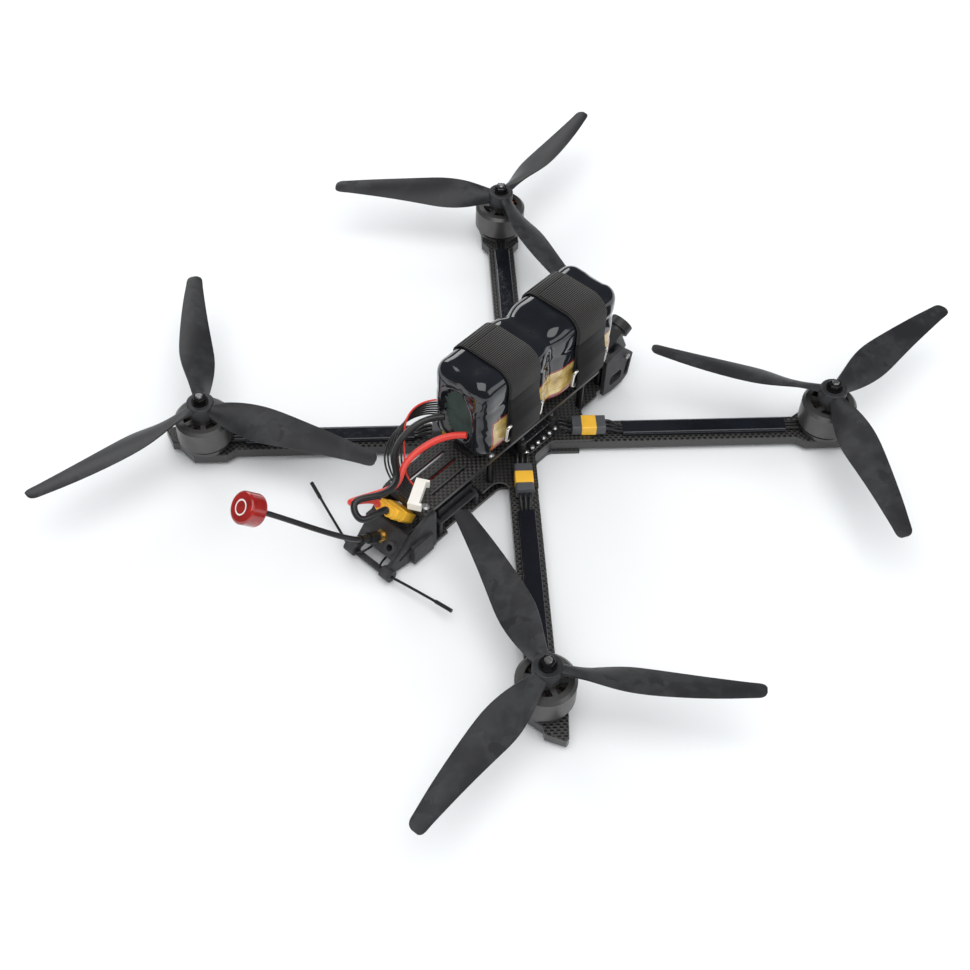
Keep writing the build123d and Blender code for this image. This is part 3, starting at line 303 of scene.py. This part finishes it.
def brushed(name, colour, rough, upright=False):
    """Metal with fine streaks: up the piece where upright is set, and level otherwise."""
    s = Shader(name, rough, 0.9, colour)
    streak = s.noise(900, 3, stretch=(1, 1, 0.1) if upright else (1, 1, 14))
    s.set("Roughness", s.ramp(streak, (0.3, rough * 0.8), (0.7, rough * 1.25)))
    duller = tuple(c * 0.85 for c in colour)
    s.set("Base Color", s.ramp(s.noise(200), (0.3, duller), (0.7, colour)))
    s.bump(streak, 0.02)
    return s.material


def printed_plastic():
    """Dark printed plastic whose layers show as fine level lines."""
    s = Shader("printed_look", 0.5, 0.0, (0.03, 0.03, 0.033))
    layer_height = 0.4
    layer = s.math("SINE", s.math("MULTIPLY", s.axes()[2], 2 * math.pi / layer_height))
    dark, light = (0.022, 0.022, 0.024), (0.048, 0.049, 0.053)
    s.set("Base Color", s.ramp(s.noise(150), (0.3, dark), (0.75, light)))
    s.bump(layer, 0.05)
    return s.material


def copper_wire():
    """Enamelled copper, with the turns of the winding one above the other."""
    wire_pitch = 0.7
    s = Shader("copper_look", 0.32, 0.35, (0.9, 0.36, 0.12))
    turn = s.math("SINE", s.math("MULTIPLY", s.axes()[2], 2 * math.pi / wire_pitch))
    s.set("Base Color", s.ramp(s.noise(500), (0.3, (0.75, 0.24, 0.06)), (0.7, (1.0, 0.48, 0.2))))
    s.bump(turn, 0.3)
    return s.material


def clear_red(low, high):
    """Clear red plastic with a plain white ring printed on the pill's outer face."""
    s = Shader("clear_red_look", 0.14, 0.0, (0.3, 0.012, 0.012), coat=0.7, coat_rough=0.05)
    s.set("Subsurface Weight", 0.15)
    red = s.ramp(s.noise(120), (0.3, (0.19, 0.008, 0.008)), (0.75, (0.36, 0.018, 0.014)))
    ring_radius, ring_half_width, face_height = 4.6 * MM, 0.5 * MM, 5.5 * MM
    from_centre = s.vector("SUBTRACT", s.coords, (low + high) / 2)
    off_axis = s.vector("LENGTH", s.vector("CROSS_PRODUCT", from_centre, PILL_AXIS), out="Value")
    up_axis = s.vector("DOT_PRODUCT", from_centre, PILL_AXIS, out="Value")
    band = s.math("COMPARE", off_axis, ring_radius, ring_half_width)
    ring = s.math("MULTIPLY", band, s.math("GREATER_THAN", up_axis, face_height))
    s.set("Base Color", s.mix(ring, red, (0.75, 0.72, 0.7)))
    s.bump(s.noise(400), 0.02)
    return s.material


def lens():
    """Dark coated glass."""
    s = Shader("lens_look", 0.04, 0.0, (0.01, 0.01, 0.03), coat=1.0, coat_rough=0.02)
    blue, violet = (0.004, 0.005, 0.02), (0.02, 0.008, 0.03)
    s.set("Base Color", s.ramp(s.noise(60), (0.3, blue), (0.7, violet)))
    return s.material


# ------------------------------------------------------------------ looks of the CAD nodes
battery_low, battery_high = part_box("battery_pack")
seam_below_top, side_depth = 19, 2  # millimetres, for the webbing's plain stretch
LOOKS = {
    "post_metal": speckled("post_look", (0.02, 0.02, 0.021), 0.35, metal=0.6),
    "screw_steel": brushed("screw_look", (0.5, 0.5, 0.5), 0.3),
    "shaft_steel": brushed("shaft_look", (0.3, 0.3, 0.3), 0.32, upright=True),
    "pad_rubber": speckled("pad_look", (0.015, 0.015, 0.015), 0.85, bump_mm=0.3),
    "shrink_wrap": shrink_wrap(battery_low, battery_high),
    "webbing": webbing(battery_high.z / MM - seam_below_top, battery_low.y / MM + side_depth),
    "board": boards(),
    "button_plastic": speckled("button_look", (0.04, 0.04, 0.04), 0.5),
    "amber_plastic": speckled("amber_look", (0.9, 0.5, 0.045), 0.38, 0.08),
    "grey_plastic": speckled("cap_look", (0.075, 0.078, 0.085), 0.5, 0.12),
    "lead_black": speckled("black_silicone_look", (0.012, 0.012, 0.013), 0.32, bump_mm=0.03),
    "lead_red": speckled("red_silicone_look", (0.68, 0.045, 0.03), 0.3, 0.1, bump_mm=0.03),
    "balance_wire": speckled("balance_black_look", (0.012, 0.012, 0.013), 0.32, bump_mm=0.02),
    "white_plastic": speckled("white_look", (0.8, 0.78, 0.72), 0.45, 0.05),
    "heat_shrink": speckled(
        "sleeve_look", (0.008, 0.009, 0.013), 0.14, grain=250, bump_mm=0.12
    ),
    "printed_plastic": printed_plastic(),
    "module_metal": speckled("module_look", (0.03, 0.03, 0.032), 0.4, metal=0.7),
    "module_plastic": speckled("receiver_look", (0.05, 0.05, 0.05), 0.5),
    "gold_metal": brushed("gold_look", (0.75, 0.52, 0.2), 0.22),
    "clear_red": clear_red(*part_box("antenna_pill")),
    "camera_plastic": speckled("camera_look", (0.013, 0.013, 0.014), 0.4),
    "lens": lens(),
    "motor_metal": speckled(
        "motor_look", (0.1, 0.098, 0.096), 0.34, 0.1, metal=0.6, bump_mm=0.01
    ),
    "lamination": speckled("lamination_look", (0.08, 0.07, 0.06), 0.45, metal=0.6),
    "copper": copper_wire(),
    "propeller_nylon": propeller_nylon(),
    "nut_metal": brushed("nut_look", (0.05, 0.05, 0.052), 0.16),
}
CHROME = brushed("chrome_look", (0.85, 0.84, 0.82), 0.1)
PLATE_WEAVE = carbon("plate_weave", 0.0)
ARM_WEAVE = carbon("arm_weave", math.pi / 4)
slot_of = {part["node"]: part["material_slot"] for part in frame["record"]["subparts"]}


def dress(node, material):
    """Gives a CAD node one material in place of its plain one."""
    mesh = nodes[node].data
    mesh.materials.clear()
    mesh.materials.append(material)


for node, slot_name in slot_of.items():
    if slot_name == "carbon":
        dress(node, ARM_WEAVE if node.startswith("arm_") else PLATE_WEAVE)
    elif node == "strap_buckles":
        dress(node, CHROME)
    else:
        dress(node, LOOKS[slot_name])


# ------------------------------------------------------------------ mesh helpers
def piece(name, verts, faces, material, stands_for=None):
    """A smooth mesh piece that rides on the airframe."""
    mesh = bpy.data.meshes.new(name)
    mesh.from_pydata([tuple(v) for v in verts], [], faces)
    mesh.validate()
    built = bmesh.new()
    built.from_mesh(mesh)
    bmesh.ops.remove_doubles(built, verts=built.verts, dist=1e-6)
    bmesh.ops.recalc_face_normals(built, faces=built.faces)
    built.to_mesh(mesh)
    built.free()
    for polygon in mesh.polygons:
        polygon.use_smooth = True
    mesh.materials.append(material)
    made = bpy.data.objects.new(name, mesh)
    bpy.context.scene.collection.objects.link(made)
    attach(made, "airframe")
    if stands_for:
        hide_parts(*stands_for)
    return made


def rounded_box(centre, half, radius, step):
    """Points and faces of a box with round edges, with the outward direction at each point."""
    verts, faces, normals = [], [], []
    for axis in range(3):
        u, v = (axis + 1) % 3, (axis + 2) % 3
        rows = max(2, round(2 * half[u] / step))
        columns = max(2, round(2 * half[v] / step))
        for sign in (-1, 1):
            start = len(verts)
            for i in range(rows + 1):
                for j in range(columns + 1):
                    p = [0.0, 0.0, 0.0]
                    p[axis] = sign * half[axis]
                    p[u] = half[u] * (2 * i / rows - 1)
                    p[v] = half[v] * (2 * j / columns - 1)
                    core = Vector(
                        [max(-half[k] + radius, min(half[k] - radius, p[k])) for k in range(3)]
                    )
                    out = (Vector(p) - core).normalized()
                    verts.append(centre + core + out * radius)
                    normals.append(out)
            for i in range(rows):
                for j in range(columns):
                    a = start + i * (columns + 1) + j
                    faces.append((a, a + 1, a + columns + 2, a + columns + 1))
    return verts, faces, normals


# ------------------------------------------------------------------ battery pack
def build_battery():
    """Twelve cells under shrink wrap: a waist between the two groups, hollows between the
    cells, folds towards the ends and a sunk insulating card in the rear end."""
    half = (battery_high - battery_low) / 2
    centre = (battery_high + battery_low) / 2
    step = 1.6 * MM
    verts, faces, normals = rounded_box(centre, half, PACK_ROUND, step)
    cell = 2 * half.z / 3
    waist_depth, waist_half = 3.0 * MM, 7 * MM
    row_hollow, column_hollow = 0.8 * MM, 0.5 * MM
    fold_depth, ridge_depth, fold_reach = 1.5 * MM, 0.45 * MM, 26 * MM
    card_y, card_z, card_half_y, card_half_z = 1 * MM, -3 * MM, 13 * MM, 21 * MM
    card_depth, rear_depth = 4.0 * MM, 9 * MM

    def from_card(q):
        """How far a point of the rear end lies from the card's middle: 1 at its oval edge."""
        return math.hypot((q.y - card_y) / card_half_y, (q.z - card_z) / card_half_z)

    shaped = []
    for p, n in zip(verts, normals):
        q = p - centre
        sink = waist_depth * math.exp(-((q.x / waist_half) ** 2)) * (1 - abs(n.x))
        row = abs(math.sin(math.pi * (q.z + half.z) / cell))
        sink += row_hollow * (1 - row) ** 2 * abs(n.y)
        column = abs(math.cos(math.pi * q.y / (2 * half.y)))
        sink += column_hollow * column**6 * abs(n.z)
        towards_end = max(0.0, (abs(q.x) - half.x + fold_reach) / fold_reach)
        fold = noise.noise(Vector((q.x * 26, q.y * 75, q.z * 75)) + Vector((7, 3, 5)))
        sink += (0.05 * MM + fold_depth * towards_end) * max(0.0, fold)
        ridge = 1 - abs(noise.noise(Vector((q.x * 40, q.y * 55, q.z * 45))))
        sink += ridge_depth * ridge**4 * (0.05 + towards_end)
        if n.x < -0.6:
            sink += card_depth * max(0.0, min(1.0, (1.15 - from_card(q)) / 0.3))
        shaped.append(p - n * sink)
    wrap = LOOKS["shrink_wrap"]
    pack = piece("battery_wrap", shaped, faces, wrap, ["battery_pack"])
    card = speckled("card_look", (0.03, 0.055, 0.045), 0.5, 0.2)
    pack.data.materials.append(card)
    for polygon in pack.data.polygons:
        q = polygon.center - centre
        at_rear = q.x < -half.x + rear_depth and polygon.normal.x < -0.5
        if at_rear and from_card(q) < 0.9:
            polygon.material_index = 1


build_battery()


# ------------------------------------------------------------------ straps
def strap_path():
    """Centre line of a strap as y and z points: under the plate, up through the slots, round
    the pack's lower corners, up the sides and over the top."""
    plate_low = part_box("top_plate")[0].z
    away = STRAP_AWAY + STRAP_THICK / 2
    r = PACK_ROUND + away
    right, left = battery_low.y - away, battery_high.y + away
    foot, top = battery_low.z - away, battery_high.z + away
    points = [(-STRAP_SLOT_Y, plate_low - away), (-STRAP_SLOT_Y, foot - 1.0 * MM)]

    def arc(cy, cz, start, end, count=14):
        for k in range(count + 1):
            a = math.radians(start + (end - start) * k / count)
            points.append((cy + r * math.cos(a), cz + r * math.sin(a)))

    arc(right + r, foot + r, 232, 180)
    arc(right + r, top - r, 180, 90)
    arc(left - r, top - r, 90, 0)
    arc(left - r, foot + r, 0, -90)
    points.append((STRAP_SLOT_Y, foot))
    points.append((STRAP_SLOT_Y, plate_low - away))
    return points


def ribbon(name, path, low_x, high_x, closed, stands_for=None):
    """A strap from low_x to high_x whose centre line lies in a plane of constant x."""
    thick = STRAP_THICK
    dense = []
    count = len(path)
    for i in range(count if closed else count - 1):
        a, b = Vector(path[i]), Vector(path[(i + 1) % count])
        parts = max(1, round((b - a).length / (1.5 * MM)))
        dense += [a.lerp(b, k / parts) for k in range(parts)]
    if not closed:
        dense.append(Vector(path[-1]))
    total = len(dense)
    edge = 0.35 * MM
    section = [
        (low_x + edge, thick / 2),
        (high_x - edge, thick / 2),
        (high_x, 0.0),
        (high_x - edge, -thick / 2),
        (low_x + edge, -thick / 2),
        (low_x, 0.0),
    ]
    verts, faces = [], []
    for i, p in enumerate(dense):
        before = dense[(i - 1) % total] if closed or i > 0 else p
        after = dense[(i + 1) % total] if closed or i < total - 1 else p
        along = (after - before).normalized()
        out = Vector((-along.y, along.x))
        for x, lift in section:
            sway = 0.12 * MM * noise.noise(Vector((x * 90, p.x * 60, p.y * 60)))
            verts.append((x, p.x + out.x * (lift + sway), p.y + out.y * (lift + sway)))
    size = len(section)
    for i in range(total if closed else total - 1):
        j = (i + 1) % total
        for k in range(size):
            m = (k + 1) % size
            faces.append((i * size + k, i * size + m, j * size + m, j * size + k))
    if not closed:
        faces.append(tuple(range(size)))
        faces.append(tuple(range((total - 1) * size, total * size)))
    piece(name, verts, faces, LOOKS["webbing"], stands_for)


def tail_path():
    """A strap's free end, folded back over the buckle and pressed down on the outside."""
    lift = 1.6 * STRAP_THICK
    side = battery_low.y - STRAP_AWAY - lift
    top = battery_high.z + STRAP_AWAY + lift
    r = PACK_ROUND + STRAP_AWAY + lift
    over_buckle = side - 2.4 * MM
    tail = [
        (over_buckle + 0.6 * MM, battery_low.z + 8 * MM),
        (over_buckle, battery_low.z + 12 * MM),
        (over_buckle, battery_low.z + 25 * MM),
        (side - 1.2 * MM, battery_low.z + 30 * MM),
        (side, battery_low.z + 37 * MM),
        (side, battery_high.z - PACK_ROUND),
    ]
    steps = 14
    for k in range(1, steps + 1):
        a = math.radians(180 - 90 * k / steps)
        tail.append((side + r + r * math.cos(a), top - r + r * math.sin(a)))
    tail.append((battery_high.y - 12 * MM, top))
    return tail


def build_straps():
    narrower = 0.4 * MM  # so that a tail's edges don't meet those of the strap under it
    for end in ("front", "rear"):
        low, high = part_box(f"strap_{end}")
        ribbon(f"webbing_{end}", strap_path(), low.x, high.x, True, [f"strap_{end}"])
        ribbon(f"webbing_tail_{end}", tail_path(), low.x + narrower, high.x - narrower, False)


build_straps()


# ------------------------------------------------------------------ strap buckles
def tube_ring(path, radius, around=10):
    """Points and faces of a closed round bar along a loop of points."""
    verts, faces = [], []
    total = len(path)
    for i, p in enumerate(path):
        along = (path[(i + 1) % total] - path[i - 1]).normalized()
        side = along.cross(Vector((0, 1, 0))).normalized()
        out = along.cross(side)
        for k in range(around):
            a = 2 * math.pi * k / around
            verts.append(p + side * (radius * math.cos(a)) + out * (radius * math.sin(a)))
    for i in range(total):
        j = (i + 1) % total
        for k in range(around):
            m = (k + 1) % around
            faces.append((i * around + k, i * around + m, j * around + m, j * around + k))
    return verts, faces


def build_buckles():
    """Bent wire rings, one for each strap, lying a little open on the pack's right side."""
    low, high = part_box("strap_buckles")
    wire, past_strap, outward, corner = 1.1 * MM, 2.8 * MM, 0.2 * MM, 2.2 * MM
    lean = math.radians(5)
    verts, faces = [], []
    for end in ("front", "rear"):
        strap_low, strap_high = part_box(f"strap_{end}")
        middle_y, middle_z = (low.y + high.y) / 2 - outward, (low.z + high.z) / 2
        middle = Vector(((strap_low.x + strap_high.x) / 2, middle_y, middle_z))
        half_x = (strap_high.x - strap_low.x) / 2 + past_strap
        half_z = (high.z - low.z) / 2 - wire
        loop = []
        for sx, sz, turn in ((1, 1, 0), (-1, 1, 90), (-1, -1, 180), (1, -1, 270)):
            for k in range(6):
                a = math.radians(turn + 18 * k)
                x = sx * (half_x - corner) + corner * math.cos(a)
                z = sz * (half_z - corner) + corner * math.sin(a)
                loop.append(middle + Vector((x, -z * math.sin(lean), z * math.cos(lean))))
        ring_verts, ring_faces = tube_ring(loop, wire)
        start = len(verts)
        verts += ring_verts
        faces += [tuple(start + i for i in face) for face in ring_faces]
    piece("wire_buckles", verts, faces, CHROME, ["strap_buckles"])


build_buckles()


# ------------------------------------------------------------------ one red balance wire
def islands(mesh):
    """Lists of the polygons that hang together, one list for each separate solid."""
    place = [tuple(round(c / (0.005 * MM)) for c in v.co) for v in mesh.vertices]
    group = {key: key for key in place}

    def top(key):
        while group[key] != key:
            group[key] = group[group[key]]
            key = group[key]
        return key

    for polygon in mesh.polygons:
        first = top(place[polygon.vertices[0]])
        for other in polygon.vertices[1:]:
            group[top(place[other])] = first
    found = {}
    for polygon in mesh.polygons:
        found.setdefault(top(place[polygon.vertices[0]]), []).append(polygon)
    return list(found.values())


def redden_first_wire():
    """The pack's positive balance wire, which starts highest on the pack, is red."""
    mesh = nodes["balance_leads"].data
    mesh.materials.append(LOOKS["lead_red"])
    highest = max(islands(mesh), key=lambda wire: max(polygon.center.z for polygon in wire))
    for polygon in highest:
        polygon.material_index = 1


redden_first_wire()


# ------------------------------------------------------------------ solder joints
def build_solder():
    """Tinned joints where the motor wires meet the speed controller."""
    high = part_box("esc_board")[1]
    count, pitch, inset, sunk = 6, 6 * MM, 1.8 * MM, 0.1 * MM
    length, width, height, lumpy = 1.9, 1.5, 1.3, 0.18
    verts, faces = [], []
    for side in (-1, 1):
        for k in range(count):
            along = (k - (count - 1) / 2) * pitch
            centre = Vector((along, side * (high.y - inset), high.z - sunk))
            ball = bmesh.new()
            bmesh.ops.create_icosphere(ball, subdivisions=3, radius=1.0)
            start = len(verts)
            for v in ball.verts:
                lump = 1 + lumpy * noise.noise(v.co * 2 + Vector((k, side, 0)))
                shape = Vector((v.co.x * length, v.co.y * width, max(-0.2, v.co.z) * height))
                verts.append(centre + shape * lump * MM)
            for f in ball.faces:
                faces.append(tuple(start + v.index for v in f.verts))
            ball.free()
    piece("solder_joints", verts, faces, CHROME)


build_solder()


# ------------------------------------------------------------------ floor, light and camera
bounds_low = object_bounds()[0]
floor_mesh = bpy.data.meshes.new("floor")
reach = 6.0
floor_corners = [(-reach, -reach, 0), (reach, -reach, 0), (reach, reach, 0), (-reach, reach, 0)]
floor_mesh.from_pydata(floor_corners, [], [(0, 1, 2, 3)])
floor = bpy.data.objects.new("floor", floor_mesh)
bpy.context.scene.collection.objects.link(floor)
floor.location.z = bounds_low.z - 0.5 * MM
paper = Shader("paper_look", 0.9, 0.0, (0.9, 0.91, 0.92))
paper_tint = paper.ramp(paper.noise(2), (0.3, (0.8, 0.81, 0.815)), (0.7, (0.83, 0.84, 0.845)))
paper.set("Base Color", paper_tint)
floor_mesh.materials.append(paper.material)


def build_world():
    """An even white surround that glossy surfaces see much dimmer, as in a tent of diffusers."""
    world = bpy.data.worlds.new("studio")
    world.use_nodes = True
    tree = world.node_tree
    surround = tree.nodes["Background"]
    surround.inputs["Color"].default_value = (0.96, 0.98, 1.0, 1)
    path = tree.nodes.new("ShaderNodeLightPath")
    level = tree.nodes.new("ShaderNodeMapRange")
    level.inputs["To Min"].default_value = 0.72
    level.inputs["To Max"].default_value = 0.1
    tree.links.new(path.outputs["Is Glossy Ray"], level.inputs["Value"])
    tree.links.new(level.outputs["Result"], surround.inputs["Strength"])
    bpy.context.scene.world = world


build_world()


def softbox(name, place, size, power):
    """A rectangular lamp of so many metres and watts, aimed at the origin."""
    light = bpy.data.lights.new(name, "AREA")
    light.shape = "RECTANGLE"
    light.size, light.size_y = size
    light.energy = power
    lamp = bpy.data.objects.new(name, light)
    lamp.location = place
    lamp.rotation_mode = "QUATERNION"
    lamp.rotation_quaternion = (-Vector(place)).to_track_quat("-Z", "Y")
    bpy.context.scene.collection.objects.link(lamp)


softbox("top_softbox", (-0.5, -0.4, 2.2), (2.2, 2.2), 34)
softbox("left_softbox", (0.9, 1.9, 1.2), (1.6, 1.0), 16)
softbox("right_softbox", (0.6, -2.0, 1.1), (1.6, 1.0), 7)

# The photo's own viewpoint, recovered from the propeller circles.
camera_data = bpy.data.cameras.new("camera")
camera_data.sensor_width = 36.0
camera_data.lens = 53.30
camera = bpy.data.objects.new("camera", camera_data)
bpy.context.scene.collection.objects.link(camera)
camera_place = Vector((-522.5, -407.4, 751.4)) * MM
yaw, pitch, roll = 0.8761, -0.6919, -0.0447
swing, tip = Matrix.Rotation(yaw, 3, "Z"), Matrix.Rotation(pitch, 3, "X")
to_camera = Matrix.Rotation(roll, 3, "Z") @ tip @ swing
camera.matrix_world = Matrix.Translation(camera_place) @ to_camera.transposed().to_4x4()
bpy.context.scene.camera = camera
bpy.context.scene.view_settings.view_transform = "Standard"
